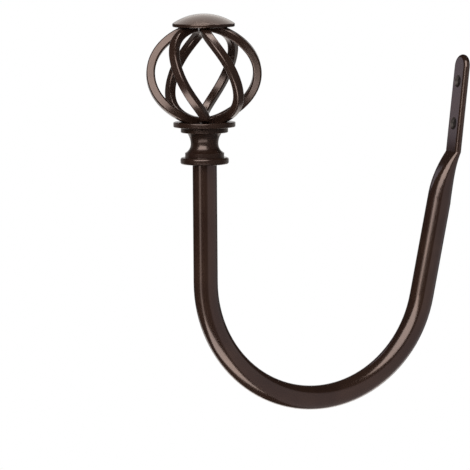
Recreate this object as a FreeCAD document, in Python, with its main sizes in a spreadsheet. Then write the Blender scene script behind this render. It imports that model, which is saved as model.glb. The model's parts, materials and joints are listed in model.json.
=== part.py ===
"""Curtain holdback: a bent tube with a wall tab at one end and a twisted cage finial at the other.

Millimetres and degrees. The wall is the plane Y = 0 and the room is on its -Y side. Z is up, the tube bends in
the plane X = 0, and the origin is midway between the two screw holes, on the face that lies against the wall.
"""
import FreeCAD, Part
import math
import os
import Sketcher
from FreeCAD import Vector

BAR_COUNT = 6
BAR_STATIONS = 9
SHOULDER_FRACTIONS = (1 / 3, 2 / 3)
FLAT_HALF_ANGLE = 20

# Driving dimensions: name, size, meaning
SIZES = (
    ("rod_diameter", 12.7, "outside of the tube"),
    ("tube_wall", 1.2, "wall of the tube"),
    ("bend_radius", 64.0, "middle of the tube, round the bend"),
    ("near_straight", 62.0, "straight run below the finial"),
    ("far_straight", 51.0, "straight run below the shoulder"),
    ("near_lean", 7.0, "lean of the finial's run away from the wall"),
    ("far_lean", 5.0, "lean of the wall's run away from the wall"),
    ("rod_gap", 1.1, "from the wall to the tube's back below the tab"),
    ("shoulder_length", 27.0, "height over which the tube is pressed flat"),
    ("shoulder_curve", 1.8, "power of the shoulder's front curve"),
    ("tab_length", 52.0, "from the shoulder to the tab's top"),
    ("tab_width", 13.0, "across the tab"),
    ("tab_thickness", 3.6, "through the tab"),
    ("hole_spacing", 22.5, "between the screw holes"),
    ("hole_margin", 14.5, "from the upper screw hole to the tab's top"),
    ("hole_diameter", 4.5, "screw hole"),
    ("sink_diameter", 6.6, "countersink at the tab's face"),
    ("plug_length", 14.0, "threaded plug in the tube's end"),
    ("stud_diameter", 6.0, "stud between plug and neck"),
    ("stud_length", 24.0, "whole stud"),
    ("stud_in_neck", 12.0, "stud above the tube's end"),
    ("stud_chamfer", 0.6, "at both ends of the stud"),
    ("stud_headroom", 1.0, "empty hole past the stud's top"),
    ("fit_clearance", 0.05, "radial play of the plug and the stud"),
    ("foot_radius", 12.6, "lowest disc of the neck"),
    ("foot_height", 3.5, "lowest disc of the neck"),
    ("foot_round", 1.1, "rounding of the lowest disc's rim"),
    ("band_radius", 10.2, "band above the lowest disc"),
    ("band_height", 2.4, "band above the lowest disc"),
    ("waist_radius", 7.2, "narrowest place of the cove"),
    ("waist_rise", 4.7, "from the band's top to the waist"),
    ("cove_height", 10.5, "from the band's top to the step"),
    ("cove_top_radius", 9.2, "cove where it meets the step"),
    ("step_radius", 12.35, "step under the plate"),
    ("step_height", 2.9, "step under the plate"),
    ("plate_radius", 16.2, "plate that carries the bars"),
    ("plate_height", 2.7, "plate that carries the bars"),
    ("rim_round", 0.6, "rounding of the other rims"),
    ("cage_height", 49.4, "from the plate to the cap"),
    ("cage_radius", 27.7, "middle of the bars at the widest place"),
    ("cage_twist", 34.0, "turn of a bar from its middle to each end"),
    ("twist_share", 0.71, "part of the twist that is even along the axis"),
    ("cage_phase", 8.8, "direction of the first bar at its middle"),
    ("bar_side", 4.5, "square section of a bar"),
    ("bar_round", 0.95, "rounded edges of a bar"),
    ("bar_gap", 0.1, "space left inside the ring of bar ends"),
    ("cap_radius", 16.25, "cap over the bars"),
    ("cap_rim", 1.7, "straight rim of the cap"),
    ("cap_dome", 5.1, "rise of the cap above its rim"),
)

doc = FreeCAD.newDocument("curtain_holdback")
sheet = doc.addObject("Spreadsheet::Sheet", "Sizes")


class Size:
    """A number together with the expression that gives it from the sheet's cells."""

    def __init__(self, number, text):
        self.number = float(number)
        self.text = text

    def __add__(self, other):
        other = as_size(other)
        return Size(self.number + other.number, f"({self.text} + {other.text})")

    def __sub__(self, other):
        other = as_size(other)
        return Size(self.number - other.number, f"({self.text} - {other.text})")

    def __mul__(self, other):
        other = as_size(other)
        return Size(self.number * other.number, f"({self.text} * {other.text})")

    def __truediv__(self, other):
        other = as_size(other)
        return Size(self.number / other.number, f"({self.text} / {other.text})")

    def __rsub__(self, other):
        return as_size(other) - self

    def __rmul__(self, other):
        return as_size(other) * self

    def __neg__(self):
        return as_size(0) - self

    def __pow__(self, other):
        other = as_size(other)
        return Size(self.number ** other.number, f"({self.text} ^ {other.text})")


def as_size(number):
    return number if isinstance(number, Size) else Size(number, f"({float(number):.12f})")


def sine(angle):
    return Size(math.sin(math.radians(angle.number)), f"sin({angle.text})")


def cosine(angle):
    return Size(math.cos(math.radians(angle.number)), f"cos({angle.text})")


def arc_cosine(ratio):
    return Size(math.degrees(math.acos(ratio.number)), f"(acos({ratio.text}) / 1 deg)")


def arc_tangent(ratio):
    return Size(math.degrees(math.atan(ratio.number)), f"(atan({ratio.text}) / 1 deg)")


def root(number):
    return Size(math.sqrt(number.number), f"sqrt({number.text})")


def fill_sheet():
    """Write the driving dimensions and return them by name."""
    sizes = {}
    for row, (name, number, meaning) in enumerate(SIZES, start=1):
        sheet.set(f"A{row}", name)
        sheet.set(f"B{row}", str(number))
        sheet.set(f"C{row}", meaning)
        sheet.setAlias(f"B{row}", name)
        sizes[name] = Size(number, f"Sizes.{name}")
    doc.recompute()
    return sizes


S = fill_sheet()
ZERO = as_size(0)

# Places that several pieces share
ROD_RADIUS = S["rod_diameter"] / 2
BORE_RADIUS = ROD_RADIUS - S["tube_wall"]
TAB_TOP = S["hole_spacing"] / 2 + S["hole_margin"]
TAB_FOOT = TAB_TOP - S["tab_length"]
SHOULDER_FOOT = TAB_FOOT - S["shoulder_length"]
ROD_AXIS_Y = -(S["rod_gap"] + ROD_RADIUS)
BEND_TOP_Y = ROD_AXIS_Y - S["far_straight"] * sine(S["far_lean"])
BEND_TOP_Z = SHOULDER_FOOT - S["far_straight"] * cosine(S["far_lean"])
BEND_Y = BEND_TOP_Y - S["bend_radius"] * cosine(S["far_lean"])
BEND_Z = BEND_TOP_Z + S["bend_radius"] * sine(S["far_lean"])
NEAR_FOOT_Y = BEND_Y - S["bend_radius"] * cosine(S["near_lean"])
NEAR_FOOT_Z = BEND_Z - S["bend_radius"] * sine(S["near_lean"])
SEAT_Y = NEAR_FOOT_Y - S["near_straight"] * sine(S["near_lean"])
SEAT_Z = NEAR_FOOT_Z + S["near_straight"] * cosine(S["near_lean"])
BAND_FOOT = S["foot_height"]
COVE_FOOT = BAND_FOOT + S["band_height"]
WAIST_Z = COVE_FOOT + S["waist_rise"]
STEP_FOOT = COVE_FOOT + S["cove_height"]
PLATE_FOOT = STEP_FOOT + S["step_height"]
PLATE_TOP = PLATE_FOOT + S["plate_height"]
CAP_FOOT = PLATE_TOP + S["cage_height"]
CAP_SHOULDER = CAP_FOOT + S["cap_rim"]
CAP_TOP = CAP_SHOULDER + S["cap_dome"]


def new_body(label, seat=None):
    """A body with the label of its piece, in the frame of the wall or of the finial's seat."""
    body = doc.addObject("PartDesign::Body", label)
    body.Label = label
    if seat is not None:
        body.setExpression("Placement", f"{seat.Name}.Placement")
    return body


def new_sketch(body, name, plane, lift=None):
    """A sketch on one of the body's own planes, moved along the plane's normal by lift."""
    sketch = body.newObject("Sketcher::SketchObject", name)
    support = next(item for item in body.Origin.OriginFeatures if item.Role == plane)
    sketch.AttachmentSupport = [(support, "")]
    sketch.MapMode = "FlatFace"
    if lift is not None:
        sketch.setExpression("AttachmentOffset.Base.z", lift.text)
    return sketch


def bind(sketch, kind, *places, size):
    """Add a dimension to a sketch and tie it to the sheet."""
    index = sketch.addConstraint(Sketcher.Constraint(kind, *places, size.number))
    sketch.setExpression(f"Constraints[{index}]", size.text)


def place_point(sketch, shape, end, across, up):
    """Hold one point of a sketch shape at a place measured from the sketch's origin."""
    for kind, size in (("DistanceX", across), ("DistanceY", up)):
        bind(sketch, kind, -1, 1, shape, end, size=size)


def circle(sketch, radius, across=ZERO, up=ZERO):
    shape = sketch.addGeometry(Part.Circle(Vector(across.number, up.number, 0), Vector(0, 0, 1), radius.number))
    bind(sketch, "Radius", shape, size=radius)
    place_point(sketch, shape, 3, across, up)


def line(sketch, start, end):
    points = [Vector(across.number, up.number, 0) for across, up in (start, end)]
    return sketch.addGeometry(Part.LineSegment(*points))


def arc(sketch, centre, radius, first, last):
    """An arc that runs counter-clockwise between two angles in degrees."""
    round_line = Part.Circle(Vector(centre[0].number, centre[1].number, 0), Vector(0, 0, 1), radius.number)
    return sketch.addGeometry(Part.ArcOfCircle(round_line, math.radians(first), math.radians(last)))


def outline(sketch, corners, arcs=None):
    """A closed outline through corners. arcs gives the centre of each side that is round, by the side's number."""
    arcs = arcs or {}
    sides = []
    for number, start in enumerate(corners):
        end = corners[(number + 1) % len(corners)]
        if number not in arcs:
            shape = line(sketch, start, end)
            ends = (1, 2)
        else:
            across, up, clockwise = arcs[number]
            angles = [math.degrees(math.atan2(point[1].number - up.number, point[0].number - across.number))
                      for point in (start, end)]
            radius = math.hypot(start[0].number - across.number, start[1].number - up.number)
            if clockwise:
                angles.reverse()
            if angles[1] <= angles[0]:
                angles[1] += 360
            shape = arc(sketch, (across, up), as_size(radius), *angles)
            ends = (2, 1) if clockwise else (1, 2)
        sides.append((shape, ends))
    for number, (shape, ends) in enumerate(sides):
        following, following_ends = sides[(number + 1) % len(sides)]
        sketch.addConstraint(Sketcher.Constraint("Coincident", shape, ends[1], following, following_ends[0]))
        place_point(sketch, shape, ends[0], *corners[number])
        if number in arcs:
            hold_centre(sketch, shape, corners[number], corners[(number + 1) % len(corners)], arcs[number])


def hold_centre(sketch, shape, start, end, centre):
    """Hold the centre of an arc whose ends are held: across where the ends lie above each other, else up."""
    tall = abs(end[1].number - start[1].number) > abs(end[0].number - start[0].number)
    kind, size = ("DistanceX", centre[0]) if tall else ("DistanceY", centre[1])
    bind(sketch, kind, -1, 1, shape, 3, size=size)


def stadium(sketch, half_width, front, back):
    """A slot shape across X between two depths, with fully round ends."""
    radius = (back - front) / 2
    middle = (back + front) / 2
    centre = half_width - radius
    right = arc(sketch, (centre, middle), radius, -90, 90)
    left = arc(sketch, (-centre, middle), radius, 90, 270)
    far = line(sketch, (centre, back), (-centre, back))
    near = line(sketch, (-centre, front), (centre, front))
    for first, end, second, start in ((right, 2, far, 1), (far, 2, left, 1), (left, 2, near, 1), (near, 2, right, 1)):
        sketch.addConstraint(Sketcher.Constraint("Tangent", first, end, second, start))
    for shape, across in ((right, centre), (left, -centre)):
        place_point(sketch, shape, 3, across, middle)
        bind(sketch, "Radius", shape, size=radius)


def split_circle(sketch, radius):
    """A circle in four arcs: short ones to the front and the back, long ones to the sides."""
    angles = [-90 - FLAT_HALF_ANGLE, -90 + FLAT_HALF_ANGLE, 90 - FLAT_HALF_ANGLE, 90 + FLAT_HALF_ANGLE]
    angles.append(angles[0] + 360)
    shapes = [arc(sketch, (ZERO, ZERO), radius, first, last) for first, last in zip(angles, angles[1:])]
    bind(sketch, "Radius", shapes[0], size=radius)
    bind(sketch, "DistanceX", -1, 1, shapes[0], 1, size=radius * cosine(as_size(angles[0])))
    for shape, last in zip(shapes, angles[1:]):
        sketch.addConstraint(Sketcher.Constraint("Coincident", shape, 3, -1, 1))
        bind(sketch, "DistanceX", -1, 1, shape, 2, size=radius * cosine(as_size(last)))
    for shape, following in zip(shapes, shapes[1:]):
        sketch.addConstraint(Sketcher.Constraint("Coincident", shape, 2, following, 1))


def rounded_rectangle(sketch, half_width, half_height, radius):
    """A rectangle round the sketch's origin with rounded corners."""
    corners = []
    for right, up, first in ((1, 1, 0), (-1, 1, 90), (-1, -1, 180), (1, -1, 270)):
        centre = (right * (half_width - radius), up * (half_height - radius))
        shape = arc(sketch, centre, radius, first, first + 90)
        bind(sketch, "Radius", shape, size=radius)
        place_point(sketch, shape, 3, *centre)
        corners.append((shape, sketch.Geometry[shape]))
    for number, (shape, corner) in enumerate(corners):
        following, next_corner = corners[(number + 1) % len(corners)]
        side = sketch.addGeometry(Part.LineSegment(corner.EndPoint, next_corner.StartPoint))
        sketch.addConstraint(Sketcher.Constraint("Tangent", shape, 2, side, 1))
        sketch.addConstraint(Sketcher.Constraint("Tangent", side, 2, following, 1))


def loft(body, kind, name, sketches):
    feature = body.newObject(kind, name)
    feature.Profile = sketches[0]
    feature.Sections = sketches[1:]
    return feature


def pad(body, name, sketch, length):
    feature = body.newObject("PartDesign::Pad", name)
    feature.Profile = sketch
    feature.setExpression("Length", length.text)
    return feature


def revolve(body, name, sketch, angle=360, reverse=False):
    """Turn a half outline about its sketch's own upright axis."""
    feature = body.newObject("PartDesign::Revolution", name)
    feature.Profile = sketch
    feature.ReferenceAxis = (sketch, ["V_Axis"])
    feature.Angle = angle
    feature.Reversed = reverse
    return feature


def volume(feature):
    doc.recompute()
    return feature.Shape.Volume


def pocket(body, name, sketch, depth, reverse):
    """Cut a sketch into the body, and make sure that it takes something away."""
    before = volume(body)
    feature = body.newObject("PartDesign::Pocket", name)
    feature.Profile = sketch
    feature.Reversed = reverse
    feature.setExpression("Length", depth.text)
    if not volume(body) < before:
        raise RuntimeError(f"{body.Label}: {name} cuts nothing")
    return feature


def rim_edges(feature, rims):
    """Names of the circular edges round the body's axis with the given radii and heights."""
    doc.recompute()
    names = []
    for number, edge in enumerate(feature.Shape.Edges, start=1):
        if edge.Degenerated or not isinstance(edge.Curve, Part.Circle):
            continue
        for radius, height in rims:
            if math.isclose(edge.Curve.Radius, radius.number, abs_tol=1e-4):
                if math.isclose(edge.Curve.Center.z, height.number, abs_tol=1e-4):
                    names.append(f"Edge{number}")
    if len(names) != len(rims):
        raise RuntimeError(f"{feature.Name}: found {len(names)} rims of {len(rims)}")
    return names


def fillet(body, name, base, rims, radius):
    edges = rim_edges(base, rims)
    feature = body.newObject("PartDesign::Fillet", name)
    feature.Base = (base, edges)
    feature.setExpression("Radius", radius.text)
    return feature


# The bent tube with its pressed tab

def tube_path(body):
    """Middle line of the tube, from the shoulder round the bend to the finial's seat."""
    sketch = new_sketch(body, "TubePath", "YZ_Plane")
    far = line(sketch, (ROD_AXIS_Y, SHOULDER_FOOT), (BEND_TOP_Y, BEND_TOP_Z))
    bend = arc(sketch, (BEND_Y, BEND_Z), S["bend_radius"],
               S["near_lean"].number - 180, -S["far_lean"].number)
    near = line(sketch, (NEAR_FOOT_Y, NEAR_FOOT_Z), (SEAT_Y, SEAT_Z))
    sketch.addConstraint(Sketcher.Constraint("Coincident", far, 2, bend, 2))
    sketch.addConstraint(Sketcher.Constraint("Coincident", bend, 1, near, 1))
    place_point(sketch, far, 1, ROD_AXIS_Y, SHOULDER_FOOT)
    place_point(sketch, far, 2, BEND_TOP_Y, BEND_TOP_Z)
    place_point(sketch, near, 1, NEAR_FOOT_Y, NEAR_FOOT_Z)
    place_point(sketch, near, 2, SEAT_Y, SEAT_Z)
    bind(sketch, "DistanceY", -1, 1, bend, 3, size=BEND_Z)
    return sketch


def across_path(body, name):
    """A sketch square to the tube's path at the shoulder's foot, with its up side to the back."""
    sketch = body.newObject("Sketcher::SketchObject", name)
    sketch.setExpression("Placement", f"placement(vector(0; {ROD_AXIS_Y.text}; {SHOULDER_FOOT.text}); "
                                      f"rotation(vector(1; 0; 0); -{S['far_lean'].text}))")
    return sketch


def pipe(body, kind, name, profile, path):
    feature = body.newObject(kind, name)
    feature.Profile = profile
    feature.Spine = path
    return feature


def shoulder_section(body, name, fraction, inset):
    """Section of the pressed shoulder at a fraction of its height, inset from its outer surface."""
    lift = SHOULDER_FOOT + S["shoulder_length"] * fraction
    half_width = ROD_RADIUS + (S["tab_width"] / 2 - ROD_RADIUS) * fraction
    rod_front = S["rod_diameter"] + S["rod_gap"]
    kept = 1 - as_size(fraction) ** S["shoulder_curve"]
    front = S["tab_thickness"] + (rod_front - S["tab_thickness"]) * kept
    sketch = new_sketch(body, name, "XY_Plane", lift)
    stadium(sketch, half_width - inset, inset - front, -(S["rod_gap"] + inset))
    return sketch


def tab_section(body):
    sketch = new_sketch(body, "TabSection", "XY_Plane", TAB_FOOT)
    stadium(sketch, S["tab_width"] / 2, -S["tab_thickness"], ZERO)
    return sketch


def tab_end(body):
    """Half of the tab's section, turned over the top to give the tab its round end."""
    radius = S["tab_thickness"] / 2
    flat = S["tab_width"] / 2 - radius
    sketch = new_sketch(body, "TabEnd", "XY_Plane", TAB_TOP - S["tab_width"] / 2)
    corners = [(ZERO, -S["tab_thickness"]), (flat, -S["tab_thickness"]), (flat, ZERO), (ZERO, ZERO)]
    outline(sketch, corners, {1: (flat, -radius, False)})
    return sketch


def screw_holes(body):
    """Two countersunk holes, sunk from the room's side."""
    face = new_sketch(body, "HoleCentres", "XZ_Plane", S["tab_thickness"])
    for up in (S["hole_spacing"] / 2, -S["hole_spacing"] / 2):
        circle(face, S["hole_diameter"] / 2, up=up)
    before = volume(body)
    holes = body.newObject("PartDesign::Hole", "ScrewHoles")
    holes.Profile = face
    holes.ThreadType = "None"
    holes.setExpression("Diameter", S["hole_diameter"].text)
    holes.DepthType = "ThroughAll"
    holes.HoleCutType = "Countersink"
    holes.HoleCutCustomValues = True
    holes.setExpression("HoleCutDiameter", S["sink_diameter"].text)
    holes.HoleCutCountersinkAngle = 90
    if not volume(body) < before:
        raise RuntimeError("the screw holes cut nothing")


def holdback_arm():
    body = new_body("holdback_arm")
    path = tube_path(body)
    rod = across_path(body, "RodSection")
    circle(rod, ROD_RADIUS)
    pipe(body, "PartDesign::AdditivePipe", "Rod", rod, path)
    foot = across_path(body, "ShoulderFoot")
    split_circle(foot, ROD_RADIUS)
    sections = [shoulder_section(body, f"Shoulder{number}", fraction, ZERO)
                for number, fraction in enumerate(SHOULDER_FRACTIONS, start=1)]
    tab = tab_section(body)
    loft(body, "PartDesign::AdditiveLoft", "Shoulder", [foot, *sections, tab])
    pad(body, "Tab", tab, S["tab_length"] - S["tab_width"] / 2)
    revolve(body, "TabTop", tab_end(body), 180, reverse=True)
    before = volume(body)
    bore = across_path(body, "BoreSection")
    circle(bore, BORE_RADIUS)
    pipe(body, "PartDesign::SubtractivePipe", "Bore", bore, path)
    bore_foot = across_path(body, "BoreFoot")
    split_circle(bore_foot, BORE_RADIUS)
    hollows = [shoulder_section(body, f"Hollow{number}", fraction, S["tube_wall"])
               for number, fraction in enumerate(SHOULDER_FRACTIONS, start=1)]
    loft(body, "PartDesign::SubtractiveLoft", "BoreEnd", [bore_foot, *hollows])
    if not volume(body) < before:
        raise RuntimeError("the bore cuts nothing")
    screw_holes(body)
    return body


# The finial, in a frame that stands on the tube's end with Z along the tube

def finial_seat():
    seat = doc.addObject("Part::LocalCoordinateSystem", "FinialSeat")
    seat.setExpression("Placement", f"placement(vector(0; {SEAT_Y.text}; {SEAT_Z.text}); "
                                    f"rotation(vector(1; 0; 0); {S['near_lean'].text}))")
    return seat


def end_plug(seat):
    """Threaded plug inside the tube, flush with the tube's end."""
    body = new_body("end_plug", seat)
    sketch = new_sketch(body, "PlugRing", "XY_Plane", -S["plug_length"])
    circle(sketch, BORE_RADIUS - S["fit_clearance"])
    circle(sketch, S["stud_diameter"] / 2 + S["fit_clearance"])
    pad(body, "Plug", sketch, S["plug_length"])
    return body


def finial_stud(seat):
    body = new_body("finial_stud", seat)
    foot = S["stud_in_neck"] - S["stud_length"]
    radius = S["stud_diameter"] / 2
    tip = radius - S["stud_chamfer"]
    sketch = new_sketch(body, "StudOutline", "XZ_Plane")
    outline(sketch, [(ZERO, foot), (tip, foot), (radius, foot + S["stud_chamfer"]),
                     (radius, S["stud_in_neck"] - S["stud_chamfer"]), (tip, S["stud_in_neck"]),
                     (ZERO, S["stud_in_neck"])])
    revolve(body, "Stud", sketch)
    return body


def finial_neck(seat):
    """Turned neck: foot disc, band, cove, step and plate, with a blind hole for the stud."""
    body = new_body("finial_neck", seat)
    sketch = new_sketch(body, "NeckOutline", "XZ_Plane")
    corners = [
        (ZERO, ZERO), (S["foot_radius"], ZERO), (S["foot_radius"], BAND_FOOT), (S["band_radius"], BAND_FOOT),
        (S["band_radius"], COVE_FOOT), (S["waist_radius"], WAIST_Z), (S["cove_top_radius"], STEP_FOOT),
        (S["step_radius"], STEP_FOOT), (S["step_radius"], PLATE_FOOT), (S["plate_radius"], PLATE_FOOT),
        (S["plate_radius"], PLATE_TOP), (ZERO, PLATE_TOP),
    ]
    lower = cove_radius(S["band_radius"] - S["waist_radius"], S["waist_rise"])
    upper = cove_radius(S["cove_top_radius"] - S["waist_radius"], S["cove_height"] - S["waist_rise"])
    outline(sketch, corners, {4: (S["waist_radius"] + lower, WAIST_Z, True),
                              5: (S["waist_radius"] + upper, WAIST_Z, True)})
    turned = revolve(body, "Turning", sketch)
    foot_rims = [(S["foot_radius"], ZERO), (S["foot_radius"], BAND_FOOT)]
    rounded = fillet(body, "FootRound", turned, foot_rims, S["foot_round"])
    rims = [(S["step_radius"], STEP_FOOT), (S["plate_radius"], PLATE_FOOT), (S["plate_radius"], PLATE_TOP)]
    fillet(body, "RimRound", rounded, rims, S["rim_round"])
    mouth = new_sketch(body, "StudMouth", "XY_Plane")
    circle(mouth, S["stud_diameter"] / 2 + S["fit_clearance"])
    pocket(body, "StudHole", mouth, S["stud_in_neck"] + S["stud_headroom"], True)
    return body


def cove_radius(depth, height):
    """Radius of an arc that leaves the waist upright and flares by depth over height."""
    return (depth * depth + height * height) / (2 * depth)


def bar_station(body, name, fraction, first_angle):
    """Section of a bar where it has gone a fraction of the way from its middle to one end.

    A bar follows an ellipse from pole to pole of the cage while it turns about the finial's axis. Its section
    stands square to the meridian, widened by the bar's slope so that the bar itself stays square.
    """
    end_radius = S["bar_side"] / (2 * math.sin(math.pi / BAR_COUNT)) + S["bar_gap"]
    latitude = arc_cosine(end_radius / S["cage_radius"]) * fraction
    rise = S["cage_height"] / 2
    out, up = cosine(latitude), sine(latitude)
    radius = S["cage_radius"] * out
    uneven = 1 - S["twist_share"]
    turned = S["cage_twist"] * (S["twist_share"] * up + uneven * up * up * up)
    angle = S["cage_phase"] + first_angle - turned
    face_lean = arc_tangent(S["cage_radius"] * up / (rise * out))
    turn_rate = S["cage_twist"] * (math.pi / 180) * (S["twist_share"] + 3 * uneven * up * up) * out
    run = root(S["cage_radius"] * S["cage_radius"] * up * up + rise * rise * out * out)
    slope = radius * turn_rate / run
    half_width = S["bar_side"] / 2 * root(slope * slope + 1)
    place = (radius * cosine(angle), radius * sine(angle), PLATE_TOP + rise + rise * up)
    sketch = body.newObject("Sketcher::SketchObject", name)
    sketch.setExpression("Placement", f"placement(vector({place[0].text}; {place[1].text}; {place[2].text}); "
                                      f"rotation({angle.text} + 90; 0; 180 - {face_lean.text}))")
    rounded_rectangle(sketch, half_width, S["bar_side"] / 2, S["bar_round"])
    return sketch


def cage_bar(seat, number):
    """One twisted bar, cut flat where it is welded to the plate and to the cap."""
    body = new_body(f"cage_bar_{number}", seat)
    first_angle = 360 / BAR_COUNT * (number - 1)
    middle = (BAR_STATIONS - 1) / 2
    stations = [bar_station(body, f"Station{station}", (station - middle) / middle, first_angle)
                for station in range(BAR_STATIONS)]
    loft(body, "PartDesign::AdditiveLoft", "Bar", stations)
    for name, lift, reverse in (("PlateSeat", PLATE_TOP, False), ("CapSeat", CAP_FOOT, True)):
        sketch = new_sketch(body, f"{name}Sketch", "XY_Plane", lift)
        circle(sketch, S["cage_radius"])
        pocket(body, name, sketch, S["bar_side"], reverse)
    return body


def finial_cap(seat):
    """Turned cap: a flat underside on the bars, a straight rim and a dome."""
    body = new_body("finial_cap", seat)
    dome_radius = cove_radius(S["cap_dome"], S["cap_radius"])
    sketch = new_sketch(body, "CapOutline", "XZ_Plane")
    corners = [(ZERO, CAP_FOOT), (S["cap_radius"], CAP_FOOT), (S["cap_radius"], CAP_SHOULDER), (ZERO, CAP_TOP)]
    outline(sketch, corners, {2: (ZERO, CAP_TOP - dome_radius, False)})
    turned = revolve(body, "Turning", sketch)
    rims = [(S["cap_radius"], CAP_FOOT), (S["cap_radius"], CAP_SHOULDER)]
    fillet(body, "RimRound", turned, rims, S["rim_round"])
    return body


def build():
    seat = finial_seat()
    bars = [cage_bar(seat, number) for number in range(1, BAR_COUNT + 1)]
    return [holdback_arm(), end_plug(seat), finial_stud(seat), finial_neck(seat), *bars, finial_cap(seat)]


def check(pieces):
    """Stop if any object failed, or any piece isn't one sound solid."""
    doc.recompute()
    for item in doc.Objects:
        if {"Invalid", "Error"} & set(item.State):
            raise RuntimeError(f"{item.Name} failed: {item.State}")
    for piece in pieces:
        shape = piece.Shape
        if shape.isNull() or not shape.isValid() or len(shape.Solids) != 1:
            raise RuntimeError(f"{piece.Label} has no sound solid")


pieces = build()
check(pieces)
os.makedirs("parts", exist_ok=True)
for piece in pieces:
    piece.Shape.exportStep(f"parts/{piece.Label}.step")
    print(f"{piece.Label}: {piece.Shape.Volume:.1f} cubic mm")
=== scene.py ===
"""A curtain holdback in satin dark bronze paint, in a white studio, from the photograph's viewing angle."""
import json
import math
import bpy
from mathutils import Matrix, Quaternion, Vector


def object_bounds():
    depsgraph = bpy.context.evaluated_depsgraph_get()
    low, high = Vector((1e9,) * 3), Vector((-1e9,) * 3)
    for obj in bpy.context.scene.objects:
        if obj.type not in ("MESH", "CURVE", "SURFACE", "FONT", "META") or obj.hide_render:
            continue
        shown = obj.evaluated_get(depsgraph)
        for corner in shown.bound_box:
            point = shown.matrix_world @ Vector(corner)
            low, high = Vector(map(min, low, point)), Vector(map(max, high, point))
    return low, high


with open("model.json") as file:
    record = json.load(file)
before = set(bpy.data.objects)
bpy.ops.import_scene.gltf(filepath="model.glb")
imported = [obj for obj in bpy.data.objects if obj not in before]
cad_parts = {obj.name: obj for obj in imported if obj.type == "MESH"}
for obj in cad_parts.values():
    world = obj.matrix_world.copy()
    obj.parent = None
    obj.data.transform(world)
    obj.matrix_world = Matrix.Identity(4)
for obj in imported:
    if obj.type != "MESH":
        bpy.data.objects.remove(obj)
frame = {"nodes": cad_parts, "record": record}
cad_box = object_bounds()

# The painted pieces
ARM = ["holdback_arm"]
NECK = ["finial_neck"]
CAP = ["finial_cap"]
BARS = [f"cage_bar_{number}" for number in range(1, 7)]

# The photograph's camera: angles in degrees, lengths in metres, pixels of the 470 frame
PICTURE_PIXELS = 470
SENSOR_MM = 36
FOCAL_PIXELS = 5000
VIEW_AZIMUTH = 64.2
VIEW_ELEVATION = 2.25
VIEW_ROLL = 5.88
VIEW_DISTANCE = 2.631
BEND_CENTRE = Vector((0, -0.0756, -0.0987))
BEND_CENTRE_PIXEL = (315.9, 277.0)

MILLIMETRE = 0.001
WHITE = (1, 1, 1, 1)


class Wire:
    """One output of a shader graph. Arithmetic on it adds Math nodes."""

    def __init__(self, graph, socket):
        self.graph = graph
        self.socket = socket

    def math(self, operation, *values, clamp=False):
        """A Math node on the given values, held between 0 and 1 where clamp is set."""
        settings = {"operation": operation, "use_clamp": clamp}
        return self.graph.node("ShaderNodeMath", settings, dict(enumerate(values)))

    def __add__(self, other):
        return self.math("ADD", self, other)

    def __radd__(self, other):
        return self.math("ADD", other, self)

    def __sub__(self, other):
        return self.math("SUBTRACT", self, other)

    def __rsub__(self, other):
        return self.math("SUBTRACT", other, self)

    def __mul__(self, other):
        return self.math("MULTIPLY", self, other)

    def __rmul__(self, other):
        return self.math("MULTIPLY", other, self)

    def clamped(self):
        """The value held between 0 and 1."""
        return self.math("ADD", self, 0, clamp=True)

    def smooth(self, low, high):
        """A soft step from 0 at low to 1 at high."""
        settings = {"interpolation_type": "SMOOTHSTEP"}
        inputs = {"Value": self, "From Min": low, "From Max": high}
        return self.graph.node("ShaderNodeMapRange", settings, inputs)


class Graph:
    """The node tree of a material or of the world."""

    def __init__(self, owner):
        owner.use_nodes = True
        self.tree = owner.node_tree
        self.tree.nodes.clear()

    def node(self, kind, settings=None, inputs=None, output=0):
        """Add a node: its settings first, then the values or links of its sockets."""
        made = self.tree.nodes.new(kind)
        for name, value in (settings or {}).items():
            setattr(made, name, value)
        for name, value in (inputs or {}).items():
            if isinstance(value, Wire):
                self.tree.links.new(value.socket, made.inputs[name])
            else:
                made.inputs[name].default_value = value
        return Wire(self, made.outputs[output]) if made.outputs else None

    def vector(self, operation, *values, output=0):
        """A Vector Math node. A distance or a dot product is its output named Value."""
        settings = {"operation": operation}
        return self.node("ShaderNodeVectorMath", settings, dict(enumerate(values)), output)

    def blend(self, factor, first, second):
        """Mix two colours, which are the inputs 6 and 7 and the output 2 of a Mix node."""
        settings = {"data_type": "RGBA"}
        return self.node("ShaderNodeMix", settings, {0: factor, 6: first, 7: second}, output=2)

    def noise(self, place, size, detail, roughness=0.5):
        """Cloudy noise whose patches are about size metres across."""
        inputs = {"Vector": place, "Scale": 1 / size, "Detail": detail, "Roughness": roughness}
        return self.node("ShaderNodeTexNoise", inputs=inputs)


def direction(azimuth, elevation):
    """Unit vector from the object towards a place in the studio, as views are counted."""
    around, above = math.radians(azimuth), math.radians(elevation)
    level = math.cos(above)
    return Vector((math.sin(around) * level, -math.cos(around) * level, math.sin(above)))


# Finishes: sizes in metres, and limits between which a noise goes from no effect to its full one

PAINT_DARK = (0.033, 0.0166, 0.0122, 1)
PAINT_LIGHT = (0.043, 0.0226, 0.0156, 1)
PAINT_METALLIC = 0.6
PAINT_GLOSS = 1.0
CLOUD_SIZE = 0.018
CLOUD_LIMITS = (0.3, 0.7)
FLECK_COLOUR = (0.09, 0.052, 0.036, 1)
FLECK_SIZE = 0.00035
FLECK_LIMITS = (0.68, 0.8)
FLECK_SHARE = 0.12
PEEL_SIZE = 0.0011
PEEL_DEPTH = 0.000004
PEEL_STRENGTH = 0.25
HANDLING_SIZE = 0.03
HANDLING_LIMITS = (0.25, 0.75)
HANDLING_ROUGHNESS = 0.05
# The drawn tube takes a smoother coat than the finial's turned and formed pieces
TUBE_ROUGHNESS = 0.165
FINIAL_ROUGHNESS = 0.22

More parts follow.
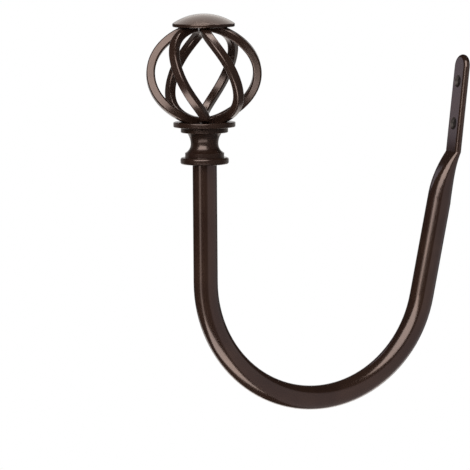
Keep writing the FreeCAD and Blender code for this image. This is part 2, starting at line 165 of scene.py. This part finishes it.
# The countersinks of the two screw holes: the paint there is duller, and darkened by painted shade
SCREWS = frame["record"]["mounts"][0]["dims"]
HOLE_HEIGHT = SCREWS["spacing_y_mm"] / 2 * MILLIMETRE
SINK_WIDENING = 1.45
SINK_RADIUS = SINK_WIDENING * SCREWS["hole_r_mm"] * MILLIMETRE
SINK_EDGE = 0.0002
SINK_ROUGHNESS = 0.35
# Painted shade: the dark colour laid into the countersinks in place of the shade of the hollows
SINK_SHADE_COLOUR = (0.012, 0.007, 0.0055, 1)
# Distances from the wall over which the dull paint begins, inside the tab's back, and ends, past its front
SINK_BEGINS = (0.0002, 0.0004)
SINK_ENDS = (0.004, 0.0045)

ZINC_DARK = (0.5, 0.51, 0.52, 1)
ZINC_LIGHT = (0.68, 0.68, 0.66, 1)
ZINC_GRAIN = 0.0006
ZINC_ROUGHNESS = 0.25
ZINC_GRAIN_ROUGHNESS = 0.2


def in_countersink(graph, place):
    """1 within the countersinks, measured across the tab from the nearer hole's axis."""
    flat = graph.vector("MULTIPLY", place, (1, 0, 1))
    either = graph.vector("ABSOLUTE", flat)
    away = graph.vector("DISTANCE", either, (0, 0, HOLE_HEIGHT), output="Value")
    from_wall = -1 * graph.node("ShaderNodeSeparateXYZ", inputs={0: place}, output="Y")
    in_tab = from_wall.smooth(*SINK_BEGINS) * (1 - from_wall.smooth(*SINK_ENDS))
    return (1 - away.smooth(SINK_RADIUS - SINK_EDGE, SINK_RADIUS + SINK_EDGE)) * in_tab


def bronze_paint(name, roughness, countersunk=False):
    """Sprayed satin paint: a cloudy dark brown with faint bronze flecks under a slightly dimpled skin."""
    material = bpy.data.materials.new(name)
    graph = Graph(material)
    place = graph.node("ShaderNodeTexCoord", output="Object")
    cloud = graph.noise(place, CLOUD_SIZE, detail=4).smooth(*CLOUD_LIMITS)
    fleck = graph.noise(place, FLECK_SIZE, detail=0).smooth(*FLECK_LIMITS)
    handling = graph.noise(place, HANDLING_SIZE, detail=5, roughness=0.6).smooth(*HANDLING_LIMITS)
    peel = graph.noise(place, PEEL_SIZE, detail=1)
    colour = graph.blend(cloud, PAINT_DARK, PAINT_LIGHT)
    colour = graph.blend(fleck * FLECK_SHARE, colour, FLECK_COLOUR)
    uneven = roughness + HANDLING_ROUGHNESS * handling
    if countersunk:
        sink = in_countersink(graph, place)
        # The countersinks get painted shade in their colour and a duller, rougher paint
        colour = graph.blend(sink, colour, SINK_SHADE_COLOUR)
        uneven = uneven + SINK_ROUGHNESS * sink
    dimples = {"Strength": PEEL_STRENGTH, "Distance": PEEL_DEPTH, "Height": peel}
    shader = graph.node("ShaderNodeBsdfPrincipled", inputs={
        "Base Color": colour,
        "Roughness": uneven,
        "Metallic": PAINT_METALLIC,
        "Specular IOR Level": PAINT_GLOSS,
        "Normal": graph.node("ShaderNodeBump", inputs=dimples),
    })
    graph.node("ShaderNodeOutputMaterial", inputs={"Surface": shader})
    return material


def zinc_plated_steel():
    """Bright plated steel with a fine turned grain."""
    material = bpy.data.materials.new("zinc_plated_steel")
    graph = Graph(material)
    place = graph.node("ShaderNodeTexCoord", output="Object")
    grain = graph.noise(place, ZINC_GRAIN, detail=3)
    shader = graph.node("ShaderNodeBsdfPrincipled", inputs={
        "Base Color": graph.blend(grain, ZINC_DARK, ZINC_LIGHT),
        "Roughness": ZINC_ROUGHNESS + ZINC_GRAIN_ROUGHNESS * grain,
        "Metallic": 1.0,
    })
    graph.node("ShaderNodeOutputMaterial", inputs={"Surface": shader})
    return material


def dress_nodes():
    """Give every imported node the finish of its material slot, and the tube its own smoother coat."""
    tube_paint = bronze_paint("tube_paint", TUBE_ROUGHNESS, countersunk=True)
    finial_paint = bronze_paint("finial_paint", FINIAL_ROUGHNESS)
    finishes = {"bronze_paint": finial_paint, "zinc_plated_steel": zinc_plated_steel()}
    for row in frame["record"]["subparts"]:
        piece = frame["nodes"][row["node"]]
        finish = tube_paint if row["node"] in ARM else finishes[row["material_slot"]]
        if not piece.material_slots:
            piece.data.materials.append(finish)
        for slot in piece.material_slots:
            slot.material = finish


# The surround and the floor

# Brightness in the gloss where nothing stands, on the right and behind the object, and on matt paint
SURROUND_DARK = 0.02
SURROUND_SIDE = 0.12
SURROUND_BACKDROP = 0.7
SURROUND_AMBIENT = 0.25
# Azimuth from the camera's, elevation, and the angles at which a bright patch ends and is full
SIDE_PATCH = (78, -16, 61, 56)
BACKDROP_PATCH = (180, 0, 26, 16)

FLOOR_DROP = 0.9
FLOOR_HALF_SIDE = 2.6
FLOOR_COLOUR = (0.85, 0.85, 0.85, 1)
# Share of plain white in what the camera sees of the floor, and the distances over which the floor fades out
FLOOR_GLOW = 0.8
FLOOR_FADE = (0.8, 2.5)


def light_rays(graph):
    """1 for rays that show the white surround itself: straight to the camera or through something clear."""
    straight = graph.node("ShaderNodeLightPath", output="Is Camera Ray")
    clear = graph.node("ShaderNodeLightPath", output="Is Transmission Ray")
    return (straight + clear).clamped()


def bright_patch(graph, ray, azimuth, elevation, outer, inner):
    """1 within the inner angle of a direction counted from the camera's, falling to 0 at the outer angle."""
    towards = direction(VIEW_AZIMUTH + azimuth, elevation)
    facing = graph.vector("DOT_PRODUCT", ray, towards, output="Value")
    return facing.smooth(math.cos(math.radians(outer)), math.cos(math.radians(inner)))


def white_surround():
    """White to the camera. In the gloss it is pale behind the object, faint on its right, dim elsewhere."""
    world = bpy.data.worlds.new("studio")
    bpy.context.scene.world = world
    graph = Graph(world)
    ray = graph.node("ShaderNodeTexCoord", output="Generated")
    side = SURROUND_SIDE * bright_patch(graph, ray, *SIDE_PATCH)
    backdrop = SURROUND_BACKDROP * bright_patch(graph, ray, *BACKDROP_PATCH)
    glossy = graph.node("ShaderNodeLightPath", output="Is Glossy Ray")
    reflected = glossy * (SURROUND_DARK + side + backdrop)
    ambient = (1 - glossy) * SURROUND_AMBIENT
    shown = light_rays(graph)
    strength = shown + (1 - shown) * (reflected + ambient)
    background = graph.node("ShaderNodeBackground", inputs={"Color": WHITE, "Strength": strength})
    graph.node("ShaderNodeOutputWorld", inputs={"Surface": background})


def pale_floor():
    """A wide floor below the object, which shows nearly white, keeps a soft shadow and fades out."""
    level = cad_box[0].z - FLOOR_DROP
    side = FLOOR_HALF_SIDE
    mesh = bpy.data.meshes.new("floor")
    corners = [(-side, -side, level), (side, -side, level), (side, side, level), (-side, side, level)]
    mesh.from_pydata(corners, [], [(0, 1, 2, 3)])
    floor = bpy.data.objects.new("floor", mesh)
    bpy.context.scene.collection.objects.link(floor)
    material = bpy.data.materials.new("pale_floor")
    graph = Graph(material)
    glossy = graph.node("ShaderNodeLightPath", output="Is Glossy Ray")
    white_share = light_rays(graph) * FLOOR_GLOW
    pale = graph.node("ShaderNodeBsdfDiffuse", inputs={"Color": FLOOR_COLOUR})
    glow = graph.node("ShaderNodeEmission", inputs={"Color": WHITE, "Strength": 1.0})
    lit = graph.node("ShaderNodeMixShader", inputs={0: white_share, 1: pale, 2: glow})
    place = graph.node("ShaderNodeTexCoord", output="Object")
    middle = (BEND_CENTRE.x, BEND_CENTRE.y, level)
    away = graph.vector("DISTANCE", place, middle, output="Value")
    clear = graph.node("ShaderNodeBsdfTransparent", inputs={"Color": WHITE})
    passing = (away.smooth(*FLOOR_FADE) + glossy).clamped()
    surface = graph.node("ShaderNodeMixShader", inputs={0: passing, 1: lit, 2: clear})
    graph.node("ShaderNodeOutputMaterial", inputs={"Surface": surface})
    mesh.materials.append(material)


# The lamps

FINIAL_CENTRE = Vector((0, -0.1525, 0.002))
NECK_CENTRE = Vector((0, -0.1495, -0.035))
TAB_CENTRE = Vector((0, 0, 0))
WARM = (1, 0.95, 0.9)
COOL = (0.86, 0.84, 1)
ROSE = (1, 0.92, 0.98)
# Share of its width times height that a lamp's shape covers
LAMP_FILL = {"RECTANGLE": 1, "ELLIPSE": math.pi / 4}
# Each lamp faces its target from an azimuth counted from the camera's. Angles in degrees, lengths in metres
LAMPS = {
    "upper_box": dict(target=BEND_CENTRE, azimuth=-23, elevation=31.5, distance=1.3,
                      width=1.35, height=1.2, turn=18, brightness=5.5),
    "lower_box": dict(target=BEND_CENTRE, azimuth=-31, elevation=-57, distance=0.9,
                      width=0.92, height=0.52, turn=-15, brightness=5.4, pieces=ARM + CAP + BARS),
    "left_strip": dict(target=BEND_CENTRE, azimuth=-48, elevation=-14, distance=1.3,
                       width=0.32, height=1.0, brightness=2.1, pieces=ARM),
    "side_card": dict(target=BEND_CENTRE, azimuth=81, elevation=-16, distance=1.3,
                      width=3.18, height=6.24, turn=40, brightness=0.46, colour=ROSE,
                      shape="ELLIPSE", pieces=ARM),
    "neck_card": dict(target=NECK_CENTRE, azimuth=-12, elevation=-32, distance=0.6,
                      width=0.8, height=0.14, brightness=3.2, pieces=NECK),
    "finial_backdrop": dict(target=NECK_CENTRE, azimuth=180, elevation=0, distance=0.8,
                            width=4.4, height=0.8, brightness=0.35, pieces=NECK + BARS),
    "rear_card": dict(target=BEND_CENTRE, azimuth=180, elevation=-32, distance=1.4,
                      width=2.4, height=0.6, brightness=1.6),
    "rear_fill": dict(target=BEND_CENTRE, azimuth=180, elevation=20, distance=1.5,
                      width=2.0, height=1.6, brightness=5, mirrored=False),
    "cap_card": dict(target=FINIAL_CENTRE, azimuth=180, elevation=44, distance=1.0,
                     width=1.8, height=0.95, brightness=1.5, pieces=CAP),
    "cap_lamp": dict(target=FINIAL_CENTRE, azimuth=180, elevation=82, distance=1.0,
                     width=0.9, height=0.26, brightness=8, pieces=CAP + BARS),
    "tab_card": dict(target=TAB_CENTRE, azimuth=-126, elevation=3, distance=0.2,
                     width=0.045, height=0.07, brightness=0.9, colour=COOL, pieces=ARM),
}


def softbox(name, target, azimuth, elevation, distance, width, height, brightness,
            turn=0, colour=WARM, shape="RECTANGLE", mirrored=True, pieces=None):
    """A flat lamp that faces its target, turned about its own axis.

    A lamp of brightness 1 looks as bright in the gloss as a white card. A lamp that isn't mirrored brightens
    the paint without showing in its gloss, and one with a list of pieces lights only those.
    """
    lamp = bpy.data.lights.new(name, "AREA")
    lamp.shape = shape
    lamp.size = width
    lamp.size_y = height
    lamp.energy = brightness * math.pi * width * height * LAMP_FILL[shape]
    lamp.color = colour
    box = bpy.data.objects.new(name, lamp)
    outward = direction(VIEW_AZIMUTH + azimuth, elevation)
    box.location = target + outward * distance
    box.rotation_mode = "QUATERNION"
    spin = Quaternion((0, 0, 1), math.radians(turn))
    box.rotation_quaternion = outward.to_track_quat("Z", "Y") @ spin
    box.visible_camera = False
    box.visible_glossy = mirrored
    bpy.context.scene.collection.objects.link(box)
    if pieces:
        lit = bpy.data.collections.new(name)
        for piece in pieces:
            lit.objects.link(frame["nodes"][piece])
        box.light_linking.receiver_collection = lit


def studio_lamps():
    """Every lamp of the table."""
    for name, settings in LAMPS.items():
        softbox(name, **settings)


def photo_camera():
    """The photograph's viewing angle and framing, with no shift."""
    azimuth = math.radians(VIEW_AZIMUTH)
    back = direction(VIEW_AZIMUTH, VIEW_ELEVATION)
    level_right = Vector((math.cos(azimuth), math.sin(azimuth), 0))
    level_up = back.cross(level_right)
    roll = math.radians(VIEW_ROLL)
    right = math.cos(roll) * level_right + math.sin(roll) * level_up
    up = back.cross(right)
    pixel = VIEW_DISTANCE / FOCAL_PIXELS
    across, down = (place - PICTURE_PIXELS / 2 for place in BEND_CENTRE_PIXEL)
    stand = BEND_CENTRE - right * across * pixel + up * down * pixel + back * VIEW_DISTANCE
    data = bpy.data.cameras.new("camera")
    data.sensor_width = SENSOR_MM
    data.lens = SENSOR_MM * FOCAL_PIXELS / PICTURE_PIXELS
    camera = bpy.data.objects.new("camera", data)
    axes = Matrix((right, up, back)).transposed().to_4x4()
    camera.matrix_world = Matrix.Translation(stand) @ axes
    bpy.context.scene.collection.objects.link(camera)
    bpy.context.scene.camera = camera


dress_nodes()
white_surround()
pale_floor()
studio_lamps()
photo_camera()
bpy.context.scene.view_settings.view_transform = "Standard"
